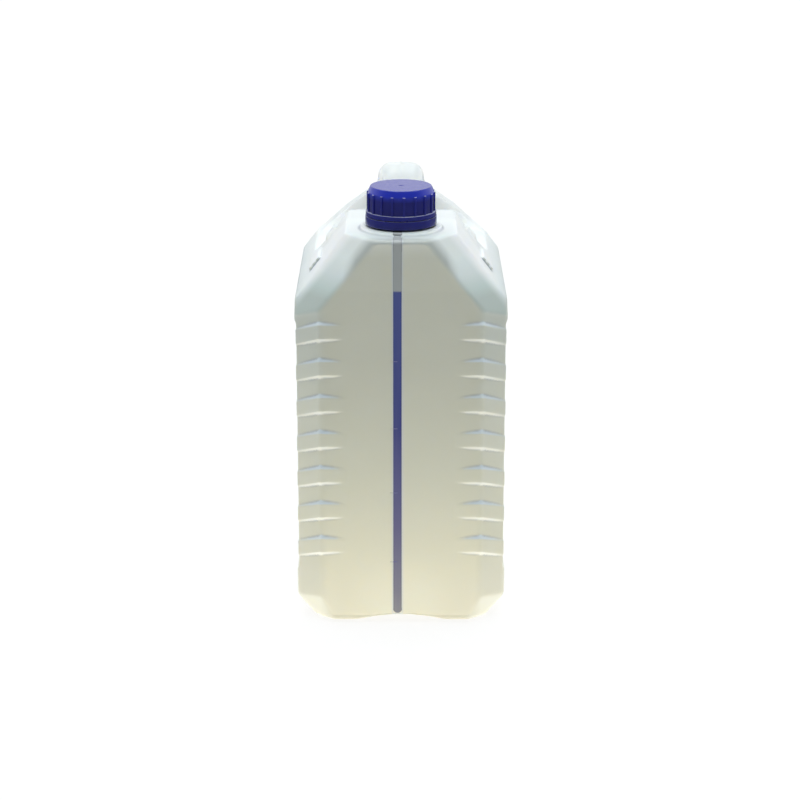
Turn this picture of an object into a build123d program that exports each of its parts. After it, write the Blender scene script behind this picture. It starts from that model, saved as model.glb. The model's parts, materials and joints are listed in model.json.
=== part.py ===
from build123d import *
import math
import os

# A blown five-litre coolant jug. It stands on z = 0, centred on the origin, with +Z up and its
# neck towards -Y. Lengths are in millimetres, angles in degrees.

# Blown tank
TANK_WIDTH = 134.0
TANK_LENGTH = 188.0
WALL = 1.4
SHOULDER_HEIGHT = 209.7
DECK_RISE = 42.3
DECK_WIDTH = 69.0
CORNER_WIDTH = 16.0
CORNER_DEPTH = 14.0
FACET_DROP = 2.7
FACET_SIDE_DROP = 8.7
NOSE_WIDTH = 30.0
TANK_EDGE = 6.0
DECK_EDGE = 3.0

# Foot of the tank: bevels along the sides, facets under the corners, an arch between two feet
FOOT_BEVEL = 13.0
FOOT_WIDTH = 24.0
FOOT_FACET_HEIGHT = 18.0
FOOT_FACET_INSET = 9.2
FOOT_FACET_DROP = 2.9
ARCH_RISE = 5.0

# Side panels, set in a little between shoulder and foot
PANEL_DEPTH = 1.2
PANEL_BOTTOM = 31.0
PANEL_TOP_DROP = 11.7
PANEL_BEVEL = 2.4

# Neck on the deck
NECK_SETBACK = 37.0
BOSS_DIAMETER = 51.4
BOSS_HEIGHT = 2.0
BOSS_EDGE = 0.9
NECK_DIAMETER = 34.6
NECK_BORE = 30.0
RIM_EDGE = 0.6
BEAD_DIAMETER = 38.6
BEAD_THICKNESS = 1.8
BEAD_BEVEL = 0.8

# Roof behind the deck, from the shoulder slope up to the handle
ROOF_START_RISE = 12.8
ROOF_END_RISE = 4.6
FLARE_RADIUS = 14.0

# Handle: a leg behind the neck, a bar over the finger gap, and a tail down to the rear end
HANDLE_WIDTH = 30.0
LEG_CLEARANCE = 7.3
LEG_RUN = 18.0
LEG_THICKNESS = 20.0
BAR_FRONT_DEPTH = 27.0
BAR_REAR_DEPTH = 15.0
TAIL_RUN = 32.0
TAIL_RISE = 12.3
HANDLE_BEND = 24.0
HANDLE_EDGE_SHARE = 0.3

# Finger gap through the top, with mould draft away from the middle plane
GAP_DEPTH = 25.0
GAP_RISE = 4.0
GAP_REAR_SETBACK = 35.0
GAP_CORNER_SHARE = 0.45
GAP_DRAFT = 4.0

# Soft ribs on the four corners
RIB_COUNT = 7
RIB_TOP_DROP = 8.4
RIB_FOOT = 46.0
RIB_HEIGHT = 14.3
RIB_PROUD = 1.7
RIB_SIDE_PROUD = 0.5
RIB_FLANK = 2.6
RIB_DROP = 6.8
RIB_FRONT_RUN = 20.0
RIB_SIDE_RUN = 16.0
RIB_END_DROP = 1.6
RIB_ROOT = 0.7
RIB_SINK = 0.25

# Raised pads on the shoulder slopes, one pair each side
PAD_HEIGHT = 10.5
PAD_PROUD = 1.8
PAD_ROOT = 0.7
UPPER_PAD_RISE = 23.8
UPPER_PAD_SETBACK = 77.0
UPPER_PAD_LENGTH = 8.5
LOWER_PAD_RISE = 11.3
LOWER_PAD_SETBACK = 46.0
LOWER_PAD_LENGTH = 26.0

# Level stripe, a strip of clear wall down the front
STRIPE_WIDTH = 5.6
STRIPE_X = -2.2
STRIPE_BOTTOM = 6.5

# Coolant inside
HEADSPACE = 32.1
LIQUID_GAP = 0.3

# Tamper ring round the neck, hooked under its bead, with small bridges up to the cap
RING_CLEARANCE = 1.0
RING_DIAMETER = 45.0
RING_WALL = 1.6
RING_HEIGHT = 5.2
RING_HOOK_HEIGHT = 1.2
RING_HOOK_CLEARANCE = 0.5
RING_EDGE = 0.5
RING_SLIT = 0.5
BRIDGE_COUNT = 9
BRIDGE_WIDTH = 1.6
BRIDGE_DEPTH = 0.9
BEAD_CLEARANCE = 0.4

# Screw cap
CAP_HEIGHT = 18.5
CAP_BODY_DIAMETER = 41.6
CAP_WALL = 1.6
CAP_TOP_WALL = 1.8
CAP_TOP_DIAMETER = 38.5
CAP_TOP_EDGE = 0.8
CAP_CONE_HEIGHT = 3.8
CAP_FLANGE_DIAMETER = 44.4
CAP_FLANGE_HEIGHT = 2.8
CAP_FLANGE_EDGE = 0.4
CAP_RIB_COUNT = 18
CAP_RIB_DIAMETER = 43.2
CAP_RIB_WIDTH = 1.7
CAP_RIB_ROOT = 0.5
CAP_RIB_TURN = 5.0

# Cap liner
LINER_THICKNESS = 1.5
LINER_PLAY = 0.4

# Heights that follow from the sizes above
DECK_HEIGHT = SHOULDER_HEIGHT + DECK_RISE
BOSS_TOP = DECK_HEIGHT + BOSS_HEIGHT
RING_BOTTOM = BOSS_TOP + RING_CLEARANCE
RING_TOP = RING_BOTTOM + RING_HEIGHT
CAP_BOTTOM = RING_TOP + RING_SLIT
CAP_TOP = CAP_BOTTOM + CAP_HEIGHT
CAP_INSIDE = CAP_BODY_DIAMETER - 2 * CAP_WALL
RIM_HEIGHT = CAP_TOP - CAP_TOP_WALL - LINER_THICKNESS
ROOF_START = SHOULDER_HEIGHT + ROOF_START_RISE
ROOF_END = DECK_HEIGHT + ROOF_END_RISE
TAIL_HEIGHT = SHOULDER_HEIGHT + TAIL_RISE
GAP_FLOOR = DECK_HEIGHT - GAP_DEPTH
GAP_CEILING = DECK_HEIGHT + GAP_RISE
BAR_FRONT_HEIGHT = GAP_CEILING + BAR_FRONT_DEPTH
BAR_REAR_HEIGHT = GAP_CEILING + BAR_REAR_DEPTH

# Places along the jug that follow from them
FRONT_Y = -TANK_LENGTH / 2
REAR_Y = TANK_LENGTH / 2
NECK_Y = FRONT_Y + NECK_SETBACK
LEG_Y = NECK_Y + BOSS_DIAMETER / 2 + LEG_CLEARANCE
BAR_FRONT_Y = LEG_Y + LEG_RUN
BAR_REAR_Y = REAR_Y - TAIL_RUN
GAP_FRONT_Y = LEG_Y + LEG_THICKNESS
GAP_REAR_Y = REAR_Y - GAP_REAR_SETBACK
GAP_MIDDLE_Y = (GAP_FRONT_Y + GAP_REAR_Y) / 2
CORNER_X = TANK_WIDTH / 2 - CORNER_WIDTH
CORNER_Y = REAR_Y - CORNER_DEPTH

# How far cutting blocks reach past the jug
REACH = 2 * TANK_LENGTH


def slope_x(height):
    """Half width of the shoulder slope at a height."""
    run = (TANK_WIDTH - DECK_WIDTH) / 2
    return TANK_WIDTH / 2 - (height - SHOULDER_HEIGHT) * run / DECK_RISE


def slope_out():
    """Outward normal of the shoulder slope at +X."""
    return Vector(DECK_RISE, 0, (TANK_WIDTH - DECK_WIDTH) / 2).normalized()


def roof_angle():
    """How steeply the roof climbs from the shoulder slope to the handle."""
    return math.atan2(ROOF_END - ROOF_START, slope_x(ROOF_START) - HANDLE_WIDTH / 2)


def through(a, b, c, up):
    """A point on the plane through three points, and its normal that looks up or down."""
    normal = (b - a).cross(c - a).normalized()
    if normal.Z * up < 0:
        normal = -normal
    return a, normal


def wall_planes(roofed):
    """Each flat wall of the tank as a point on it and its outward normal."""
    half_width = TANK_WIDTH / 2
    out = slope_out()
    roof = roof_angle()
    planes = [(Vector(0, 0, 0), Vector(0, 0, -1)), (Vector(0, 0, DECK_HEIGHT), Vector(0, 0, 1))]
    for side in (-1, 1):
        planes.append((Vector(side * half_width, 0, 0), Vector(side, 0, 0)))
        planes.append((Vector(0, side * REAR_Y, 0), Vector(0, side, 0)))
        planes.append((Vector(side * half_width, 0, SHOULDER_HEIGHT), Vector(side * out.X, 0, out.Z)))
        planes.append((Vector(side * half_width, 0, FOOT_BEVEL), Vector(side, 0, -1).normalized()))
        if roofed:
            start = Vector(side * slope_x(ROOF_START), 0, ROOF_START)
            planes.append((start, Vector(side * math.sin(roof), 0, math.cos(roof))))
        for end in (-1, 1):
            flat = Vector(side * CORNER_DEPTH, end * CORNER_WIDTH, 0).normalized()
            planes.append((Vector(side * half_width, end * CORNER_Y, 0), flat))
            a = Vector(side * CORNER_X, end * REAR_Y, SHOULDER_HEIGHT - FACET_DROP)
            b = Vector(side * half_width, end * CORNER_Y, SHOULDER_HEIGHT - FACET_SIDE_DROP)
            c = Vector(side * NOSE_WIDTH / 2, end * REAR_Y, DECK_HEIGHT)
            planes.append(through(a, b, c, 1))
            a = Vector(side * CORNER_X, end * REAR_Y, FOOT_FACET_HEIGHT)
            b = Vector(side * half_width, end * CORNER_Y, FOOT_FACET_HEIGHT - FOOT_FACET_DROP)
            c = Vector(side * (CORNER_X - FOOT_FACET_INSET), end * REAR_Y, 0)
            planes.append(through(a, b, c, -1))
    if roofed:
        tail = Vector(0, BAR_REAR_HEIGHT - TAIL_HEIGHT, TAIL_RUN).normalized()
        planes.append((Vector(0, REAR_Y, TAIL_HEIGHT), tail))
    return planes


def tank(inset, roofed):
    """The faceted tank, its walls moved in by the inset. Roofed, it is cut down behind the neck."""
    body = Pos(0, 0, DECK_HEIGHT / 2) * Box(REACH, REACH, REACH)
    for point, normal in wall_planes(roofed):
        wall = Plane(origin=point - normal * inset, z_dir=normal)
        body = split(body, bisect_by=wall, keep=Keep.BOTTOM)
    body = body.solid()
    if roofed:
        return fillet(body.edges(), TANK_EDGE - inset)
    deck = body.faces().sort_by(Axis.Z)[-1].edges()
    body = fillet([e for e in body.edges() if e not in deck], TANK_EDGE - inset)
    deck = body.faces().sort_by(Axis.Z)[-1].edges()
    return fillet(deck, DECK_EDGE - inset)


def arch(inset):
    """The hollow under the base, between the feet."""
    half = TANK_WIDTH / 2 - FOOT_BEVEL - FOOT_WIDTH
    radius = (half ** 2 + ARCH_RISE ** 2) / (2 * ARCH_RISE)
    return Pos(0, 0, ARCH_RISE - radius) * Rot(90, 0, 0) * Cylinder(radius + inset, REACH)


def handle_bell(inset):
    """Cross-section of the handle: straight sides that flare out into the roof."""
    roof = roof_angle()
    side_x = HANDLE_WIDTH / 2
    flare = FLARE_RADIUS * math.tan(math.pi / 4 - roof / 2) * math.cos(roof)
    foot_x = side_x + flare + WALL
    foot_z = ROOF_END - (foot_x - side_x) * math.tan(roof)
    top = BAR_FRONT_HEIGHT + HANDLE_WIDTH
    right = [(foot_x, SHOULDER_HEIGHT), (foot_x, foot_z), (side_x, ROOF_END), (side_x, top)]
    left = [(-x, z) for x, z in reversed(right)]
    bell = make_face(Polyline(*right, *left, close=True))
    flares = bell.vertices().filter_by_position(Axis.Y, ROOF_END - WALL, ROOF_END + WALL)
    bell = fillet(flares, FLARE_RADIUS)
    if inset:
        bell = offset(bell, -inset, kind=Kind.INTERSECTION)
    return bell


def handle_outline(inset):
    """Side view of the handle: leg, bar and tail, filled down into the tank."""
    rise = (BAR_FRONT_HEIGHT - DECK_HEIGHT) / LEG_RUN
    fall = (BAR_REAR_HEIGHT - TAIL_HEIGHT) / TAIL_RUN
    points = [
        (LEG_Y - DECK_RISE / rise, SHOULDER_HEIGHT),
        (BAR_FRONT_Y, BAR_FRONT_HEIGHT),
        (BAR_REAR_Y, BAR_REAR_HEIGHT),
        (REAR_Y - TANK_EDGE, TAIL_HEIGHT + TANK_EDGE * fall),
        (REAR_Y - TANK_EDGE, SHOULDER_HEIGHT),
    ]
    outline = make_face(Polyline(*points, close=True))
    bends = outline.vertices().sort_by(Axis.Y)[-2:]
    outline = fillet(bends, HANDLE_BEND)
    if inset:
        outline = offset(outline, -inset, kind=Kind.INTERSECTION)
    return outline


def spine(inset):
    """The handle as one fin, flared into the roof, before the finger gap goes through it."""
    long = Rot(90, 0, 0) * extrude(handle_bell(inset), amount=REACH, both=True)
    wide = Plane.YZ * extrude(handle_outline(inset), amount=REACH, both=True)
    fin = (long & wide).solid()
    edge = HANDLE_WIDTH * HANDLE_EDGE_SHARE
    rim = [e for e in fin.edges() if e.center().Z > BOSS_TOP and abs(e.center().X) > HANDLE_WIDTH / 4]
    return fillet(rim, edge - inset)


def finger_gap(outset):
    """The opening under the handle, wider towards both sides by the mould's draft."""
    height = GAP_CEILING - GAP_FLOOR
    shape = RectangleRounded(GAP_REAR_Y - GAP_FRONT_Y, height, height * GAP_CORNER_SHARE)
    if outset:
        shape = offset(shape, outset)
    half = extrude(shape, amount=TANK_WIDTH, taper=-GAP_DRAFT)
    right = Pos(0, GAP_MIDDLE_Y, (GAP_FLOOR + GAP_CEILING) / 2) * (Plane.YZ * half)
    return right + mirror(right, about=Plane.YZ)


def side_panel(inset):
    """What is cut from the +X side to set its panel in, with a bevel above and below."""
    face_x = TANK_WIDTH / 2 - PANEL_DEPTH - inset
    out_x = face_x + TANK_WIDTH
    spread = (out_x - face_x) * PANEL_BEVEL / PANEL_DEPTH
    low = PANEL_BOTTOM - inset + PANEL_BEVEL
    high = SHOULDER_HEIGHT - PANEL_TOP_DROP + inset - PANEL_BEVEL
    points = [(face_x, low), (out_x, low - spread), (out_x, high + spread), (face_x, high)]
    return Rot(90, 0, 0) * extrude(make_face(Polyline(*points, close=True)), amount=REACH, both=True)


def hull(inset):
    """The whole blown form without neck, ribs or pads, its walls moved in by the inset."""
    seam = Plane(origin=(0, GAP_MIDDLE_Y, 0), z_dir=(0, 1, 0))
    front = split(tank(inset, False), bisect_by=seam, keep=Keep.BOTTOM)
    rear = split(tank(inset, True), bisect_by=seam, keep=Keep.TOP)
    panel = side_panel(inset)
    body = front + rear
    body = body - panel - mirror(panel, about=Plane.YZ) - arch(inset)
    body = body + spine(inset)
    return (body - finger_gap(inset)).solid()


def corner_rib(level):
    """One rib on the front corner at +X: it grows from the front, wraps the facet and fades out."""
    side_x = TANK_WIDTH / 2 - PANEL_DEPTH
    side_y = -CORNER_Y - PANEL_DEPTH * CORNER_DEPTH / CORNER_WIDTH
    front = Vector(0, -1, 0)
    facet = Vector(CORNER_DEPTH, -CORNER_WIDTH, 0).normalized()
    side = Vector(1, 0, 0)
    stations = [
        (Vector(CORNER_X - RIB_FRONT_RUN, FRONT_Y, 0), front, -RIB_SINK, 0, RIB_END_DROP),
        (Vector(CORNER_X, FRONT_Y, 0), (front + facet).normalized(), RIB_PROUD, 0, 0),
        (Vector(side_x, side_y, 0), (facet + side).normalized(), RIB_SIDE_PROUD, RIB_DROP, 0),
        (Vector(side_x, side_y + RIB_SIDE_RUN, 0), side, -RIB_SINK, RIB_DROP, RIB_END_DROP),
    ]
    sections = []
    for point, out, proud, drop, end_drop in stations:
        low = level - RIB_HEIGHT - drop
        high = level - drop - end_drop
        root = point - out * RIB_ROOT
        crest = point + out * proud
        corners = [
            Vector(root.X, root.Y, low),
            Vector(crest.X, crest.Y, low + RIB_FLANK),
            Vector(crest.X, crest.Y, high - RIB_FLANK),
            Vector(root.X, root.Y, high),
        ]
        sections.append(Face(Wire.make_polygon(corners, close=True)))
    return loft(sections, ruled=True)


def corner_ribs():
    """The ribs of all four corners, spread evenly from shoulder to foot."""
    top = SHOULDER_HEIGHT - RIB_TOP_DROP
    pitch = (top - RIB_HEIGHT - RIB_FOOT) / (RIB_COUNT - 1)
    ribs = [corner_rib(top - i * pitch) for i in range(RIB_COUNT)]
    ribs += [mirror(r, about=Plane.YZ) for r in ribs]
    ribs += [mirror(r, about=Plane.XZ) for r in ribs]
    return ribs


def shoulder_pad(rise, setback, length):
    """One raised pad on the shoulder slope at +X, from its front end backwards."""
    bottom = SHOULDER_HEIGHT + rise
    top = bottom + PAD_HEIGHT
    out = slope_out()
    low = Vector(slope_x(bottom), FRONT_Y + setback, bottom)
    high = Vector(slope_x(top), FRONT_Y + setback, top)
    along = (high - low).normalized()
    corners = [
        low - out * PAD_ROOT,
        low + along * PAD_PROUD + out * PAD_PROUD,
        high - along * PAD_PROUD + out * PAD_PROUD,
        high - out * PAD_ROOT,
    ]
    return extrude(Face(Wire.make_polygon(corners, close=True)), amount=length, dir=(0, 1, 0))


def shoulder_pads():
    """Two pads on each shoulder."""
    upper = shoulder_pad(UPPER_PAD_RISE, UPPER_PAD_SETBACK, UPPER_PAD_LENGTH)
    lower = shoulder_pad(LOWER_PAD_RISE, LOWER_PAD_SETBACK, LOWER_PAD_LENGTH)
    return [upper, lower, mirror(upper, about=Plane.YZ), mirror(lower, about=Plane.YZ)]


def drum(diameter, low, high):
    """A cylinder round the neck axis between two heights."""
    middle = (low + high) / 2
    return Pos(0, NECK_Y, middle) * Cylinder(diameter / 2, high - low)


def neck():
    """Boss, neck and tamper bead, still without the bore."""
    boss = drum(BOSS_DIAMETER, DECK_HEIGHT - WALL / 2, BOSS_TOP)
    boss = fillet(boss.edges().group_by(Axis.Z)[-1], BOSS_EDGE)
    tube = drum(NECK_DIAMETER, DECK_HEIGHT - WALL / 2, RIM_HEIGHT)
    tube = fillet(tube.edges().group_by(Axis.Z)[-1], RIM_EDGE)
    bead_bottom = RING_BOTTOM + RING_HOOK_HEIGHT + BEAD_CLEARANCE
    bead = drum(BEAD_DIAMETER, bead_bottom, bead_bottom + BEAD_THICKNESS)
    bead = chamfer(bead.edges().group_by(Axis.Z)[-1], BEAD_BEVEL)
    return boss + tube + bead


def shell():
    """The blown wall with neck, ribs and pads, before the clear stripe is set apart."""
    whole = hull(0).fuse(*corner_ribs(), *shoulder_pads())
    whole = whole - finger_gap(0) + neck()
    bore = drum(NECK_BORE, DECK_HEIGHT - BOSS_DIAMETER / 2, CAP_TOP)
    return whole - hull(WALL) - bore


def stripe_slab():
    """The slice of the front wall and neck that the clear stripe takes."""
    length = NECK_SETBACK + WALL
    height = CAP_TOP - STRIPE_BOTTOM
    slab = Box(STRIPE_WIDTH, length, height, align=(Align.CENTER, Align.MAX, Align.MIN))
    return Pos(STRIPE_X, NECK_Y, STRIPE_BOTTOM) * slab


def coolant():
    """The liquid, a hair inside the wall, up to its level."""
    level = Plane(origin=(0, 0, DECK_HEIGHT - HEADSPACE), z_dir=(0, 0, 1))
    return split(hull(WALL + LIQUID_GAP), bisect_by=level, keep=Keep.BOTTOM)


def screw_cap():
    """The cap: flange, ribbed body, cone and flat top, hollow from below."""
    cone_start = CAP_TOP - CAP_CONE_HEIGHT
    body = drum(CAP_BODY_DIAMETER, CAP_BOTTOM, cone_start)
    flange = drum(CAP_FLANGE_DIAMETER, CAP_BOTTOM, CAP_BOTTOM + CAP_FLANGE_HEIGHT)
    flange = fillet(flange.edges().group_by(Axis.Z)[-1], CAP_FLANGE_EDGE)
    cone = Cone(CAP_BODY_DIAMETER / 2, CAP_TOP_DIAMETER / 2, CAP_CONE_HEIGHT)
    cone = fillet(cone.edges().group_by(Axis.Z)[-1], CAP_TOP_EDGE)
    cone = Pos(0, NECK_Y, (cone_start + CAP_TOP) / 2) * cone
    reach = (CAP_RIB_DIAMETER - CAP_BODY_DIAMETER) / 2 + CAP_RIB_ROOT
    rib_height = cone_start - CAP_BOTTOM - CAP_FLANGE_HEIGHT / 2
    rib = Box(reach, CAP_RIB_WIDTH, rib_height, align=(Align.MAX, Align.CENTER, Align.MAX))
    outer = rib.edges().filter_by(Axis.Z).group_by(Axis.X)[-1]
    rib = fillet(outer + rib.edges().group_by(Axis.Z)[-1].sort_by(Axis.X)[-1:], CAP_RIB_ROOT)
    ribs = []
    for i in range(CAP_RIB_COUNT):
        turn = Rot(0, 0, i * 360 / CAP_RIB_COUNT + CAP_RIB_TURN - 90)
        ribs.append(Pos(0, NECK_Y, cone_start) * turn * Pos(CAP_RIB_DIAMETER / 2, 0, 0) * rib)
    inside = drum(CAP_INSIDE, CAP_BOTTOM - CAP_FLANGE_HEIGHT, CAP_TOP - CAP_TOP_WALL)
    return (body + flange + cone).fuse(*ribs) - inside


def tamper_ring():
    """The ring left on the neck, with its hook under the bead and its bridges on top."""
    ring = drum(RING_DIAMETER, RING_BOTTOM, RING_TOP)
    ring = fillet(ring.edges().group_by(Axis.Z)[0], RING_EDGE)
    inside = RING_DIAMETER - 2 * RING_WALL
    hollow = drum(inside, RING_BOTTOM + RING_HOOK_HEIGHT, CAP_TOP)
    ring = ring - hollow - drum(NECK_DIAMETER + 2 * RING_HOOK_CLEARANCE, DECK_HEIGHT, CAP_TOP)
    bridge = Box(BRIDGE_DEPTH, BRIDGE_WIDTH, 2 * RING_SLIT, align=(Align.MAX, Align.CENTER, Align.MAX))
    out = CAP_FLANGE_DIAMETER / 2 - RING_EDGE / 2
    for i in range(BRIDGE_COUNT):
        turn = Rot(0, 0, i * 360 / BRIDGE_COUNT)
        ring = ring + Pos(0, NECK_Y, CAP_BOTTOM) * turn * Pos(out, 0, 0) * bridge
    return ring


def cap_liner():
    """The sealing disc between the cap's top and the neck's rim."""
    return drum(CAP_INSIDE - 2 * LINER_PLAY, RIM_HEIGHT, RIM_HEIGHT + LINER_THICKNESS)


def main():
    """Write each piece of the jug."""
    os.makedirs("parts", exist_ok=True)
    wall = shell()
    slab = stripe_slab()
    export_step((wall - slab).solid(), "parts/jug_body.step")
    export_step((wall & slab).solid(), "parts/level_stripe.step")
    export_step(coolant().solid(), "parts/coolant.step")
    export_step(screw_cap().solid(), "parts/screw_cap.step")
    export_step(tamper_ring().solid(), "parts/tamper_ring.step")
    export_step(cap_liner().solid(), "parts/cap_liner.step")


main()
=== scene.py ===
import json
import math

import bpy
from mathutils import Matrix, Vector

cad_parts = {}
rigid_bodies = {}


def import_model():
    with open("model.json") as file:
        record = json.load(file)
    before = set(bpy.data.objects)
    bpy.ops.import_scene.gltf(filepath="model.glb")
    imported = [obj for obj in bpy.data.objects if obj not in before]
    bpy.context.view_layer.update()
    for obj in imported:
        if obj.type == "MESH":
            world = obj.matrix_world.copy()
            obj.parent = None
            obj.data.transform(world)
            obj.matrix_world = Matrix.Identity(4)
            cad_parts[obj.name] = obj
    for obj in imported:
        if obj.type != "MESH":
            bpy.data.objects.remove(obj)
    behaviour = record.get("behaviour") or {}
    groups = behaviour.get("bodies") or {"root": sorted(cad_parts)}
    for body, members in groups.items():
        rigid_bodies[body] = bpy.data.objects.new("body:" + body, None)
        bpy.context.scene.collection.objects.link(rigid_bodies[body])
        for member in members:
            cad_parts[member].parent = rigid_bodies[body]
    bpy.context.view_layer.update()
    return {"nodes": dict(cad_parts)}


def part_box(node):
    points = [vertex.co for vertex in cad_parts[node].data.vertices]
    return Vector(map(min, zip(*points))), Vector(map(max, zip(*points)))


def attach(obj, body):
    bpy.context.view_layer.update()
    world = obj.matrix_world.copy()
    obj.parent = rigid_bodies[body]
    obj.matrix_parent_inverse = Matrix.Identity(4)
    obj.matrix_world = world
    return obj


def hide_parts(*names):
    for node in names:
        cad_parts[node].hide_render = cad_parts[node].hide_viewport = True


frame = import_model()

# Lengths are in metres
MM = 0.001
JUG_LOW, JUG_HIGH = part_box("jug_body")
CAP_LOW, CAP_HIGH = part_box("screw_cap")
RING_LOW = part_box("tamper_ring")[0]
STRIPE_LOW, STRIPE_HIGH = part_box("level_stripe")
NECK_AXIS = (CAP_LOW + CAP_HIGH) / 2
STRIPE_X = (STRIPE_LOW.x + STRIPE_HIGH.x) / 2
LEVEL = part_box("coolant")[1].z
FRONT_Y = STRIPE_LOW.y

# How a face has to lie: nearly upright, or nearly square to an axis
UPRIGHT = 0.3
SQUARE = 0.9

# Edges that stay sharp in the shading, in degrees, and the steps of a bevelled edge
SHARP_ANGLE = 35.0
EDGE_SEGMENTS = 2

# Skin of the jug: blow moulding leaves every edge soft and a seam where the mould halves met
MERGE = 0.01 * MM
SKIN_VOXEL = 0.75 * MM
SMOOTH_FACTOR = 0.5
SKIN_SMOOTH = 2
SKIN_SHARE = 0.23
MOUTH_RADIUS = 15.0 * MM
MOUTH_DEPTH = 24.0 * MM
STRIPE_HALF = (STRIPE_HIGH.x - STRIPE_LOW.x) / 2
STRIPE_SINK = 0.4 * MM
STRIPE_LAP = 0.35 * MM
STRIPE_BORDER = 2.0 * MM
SEAM_HALF = 0.5 * MM
SEAM_HEIGHT = 0.25 * MM
SEAM_START_Y = NECK_AXIS.y + 26 * MM

# Both ends of the tank are softer still, above the shoulder and at the foot
SOFT_SMOOTH = 20
SOFT_START_Y = 62 * MM
SOFT_FADE = 14 * MM
SOFT_ABOVE = 199 * MM
SOFT_BELOW = 28 * MM
SOFT_STEP = 8 * MM

# Creases of the skin, kept as a colour attribute that its finish reads to paint shade into them
CREASES = "creases"
CREASE_ANGLE = 10.0
CREASE_BLUR = 0.5
CREASE_BLURS = 1
CREASE_SPAN = (0.46, 0.2)

# Litre ticks beside the stripe
TICK_HEIGHTS = [41.6 * MM, 88.3 * MM, 131.0 * MM, 174.9 * MM]
TICK_LEFT = -7.0 * MM
TICK_RIGHT = -2.3 * MM
TICK_THICK = 0.6 * MM
TICK_PROUD = 0.25 * MM
TICK_EDGE = 0.15 * MM

# Neck, cap and the right-handed screw thread between them, one turn for each pitch
NECK_RADIUS = 17.3 * MM
CAP_INSIDE = 19.2 * MM
CAP_BODY_RADIUS = 20.8 * MM
THREAD_PITCH = 4.0 * MM
THREAD_TURNS = 2.25
THREAD_STEPS = 80
THREAD_PROUD = 1.4 * MM
THREAD_ROOT = 0.3 * MM
THREAD_THICK = 1.7 * MM
THREAD_CREST_SHARE = 0.45
THREAD_START_Z = 263.2 * MM

# Mark of the moulding gate on the cap
GATE_SIDES = 32
GATE_RADIUS = 1.5 * MM
GATE_PROUD = 0.15 * MM

# Camera of the photograph
CAMERA_DISTANCE = 1.480
CAMERA_HEIGHT = 0.571
CAMERA_PITCH = 16.9
CAMERA_LENS = 104.0
CAMERA_SHIFT = -0.00125

# Stage: a white floor, a light table under the jug and one broad lamp above it
FLOOR_SIZE = 9.0
FLOOR_DROP = 0.4 * MM
FLOOR_COLOR = (0.60, 0.60, 0.59)
FLOOR_SEEN = (0.95, 0.95, 0.95)
FLOOR_FAR = (0.18, 0.18, 0.185)
FLOOR_WHITE_SHARE = 0.82
TABLE_RADIUS = 0.30
TABLE_POWER = 0.90
TABLE_COLOR = (1.0, 0.95, 0.82)
SUN_STRENGTH = 3.35
SUN_ANGLE = 70.0
SUN_LEAN = 3.0
SUN_COLOR = (0.93, 0.98, 1.0)
SKY_COLOR = (0.88, 0.96, 1.0)
SKY_FRONT = 0.08
SKY_BACK = 0.36
SKY_SPAN = (-0.7, 0.4)
ROOM_FRONT = 0.20
ROOM_SPAN = (-0.6, 0.4)

# Noise is used over the middle of its range, and some of it has finer detail
NOISE = (0.3, 0.7)
FINE = 3.0

# Finish of the milky wall, with painted light and shade: tones along its height, for the front,
# the corners, the faces that look up and the slopes behind them
# Painted light along the height: a creamy glow at the foot, darkest past the middle, near white on
# roof and handle
MILK_LIT_TONES = [
    (0.00, (0.88, 0.845, 0.715)),
    (0.14, (0.85, 0.82, 0.675)),
    (0.36, (0.765, 0.755, 0.64)),
    (0.62, (0.705, 0.70, 0.605)),
    (0.86, (0.72, 0.72, 0.63)),
    (0.94, (0.97, 0.98, 0.96)),
]
# Painted shade on the corners low down, and painted bluish light on them higher up
CORNER_LIGHT_AND_SHADE_TONES = [
    (0.11, (0.77, 0.75, 0.64)),
    (0.21, (0.755, 0.74, 0.62)),
    (0.50, (0.76, 0.76, 0.67)),
    (0.68, (0.70, 0.72, 0.66)),
]
# Painted bluish light on the faces that look up, over these heights: pale on the rib flanks below
# the shoulder, darkest at its foot, paler up to the deck
PAINTED_TOP_LOW = 200 * MM
PAINTED_TOP_HIGH = 258 * MM
BLUISH_TOP_LIGHT_TONES = [
    (0.00, (0.74, 0.80, 0.84)),
    (0.03, (0.50, 0.56, 0.52)),
    (0.24, (0.51, 0.565, 0.53)),
    (0.34, (0.58, 0.66, 0.63)),
    (0.50, (0.72, 0.77, 0.76)),
    (0.67, (0.80, 0.845, 0.825)),
    (0.82, (0.80, 0.83, 0.81)),
    (1.00, (0.82, 0.84, 0.83)),
]
# Painted light and painted reflection on the slopes behind the front, near white high up
SLOPE_LIGHT_TONES = [
    (0.10, (0.66, 0.71, 0.69)),
    (0.30, (0.84, 0.88, 0.87)),
    (0.50, (0.955, 0.965, 0.955)),
]

# Places on it, each a span over which a tone comes in: out from the middle, along y or up
# Painted glow low in the middle of the front, as of light coming up through the foot
GLOW_OUT = (40 * MM, 8 * MM)
GLOW_HEIGHT = (55 * MM, 8 * MM)
GLOW_SHARE = 0.55
GLOW_TONE = (0.99, 0.95, 0.80)
CORNER_OUT = (46 * MM, 54 * MM)
CLOUD_WAVES = 22.0
CLOUD_SHARE = 0.08
CLOUD_TONE = (0.80, 0.81, 0.80)
EMPTY_HEIGHT = (LEVEL - MM, LEVEL + MM)
EMPTY_SHARE = 0.08
EMPTY_TONE = (0.90, 0.90, 0.80)
FACES_UP = (0.12, 0.5)
FACES_DOWN = (-0.08, -0.35)
# Painted bluish light on flat faces that look up, dimmer than on the slopes
FLAT_FACES_UP = (0.8, 0.95)
FLAT_LIT_TONE = (0.76, 0.785, 0.775)
BEHIND_Y = (FRONT_Y + 15 * MM, FRONT_Y + 23 * MM)
BEHIND_HEIGHT = (PAINTED_TOP_LOW, PAINTED_TOP_LOW + 4 * MM)
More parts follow.
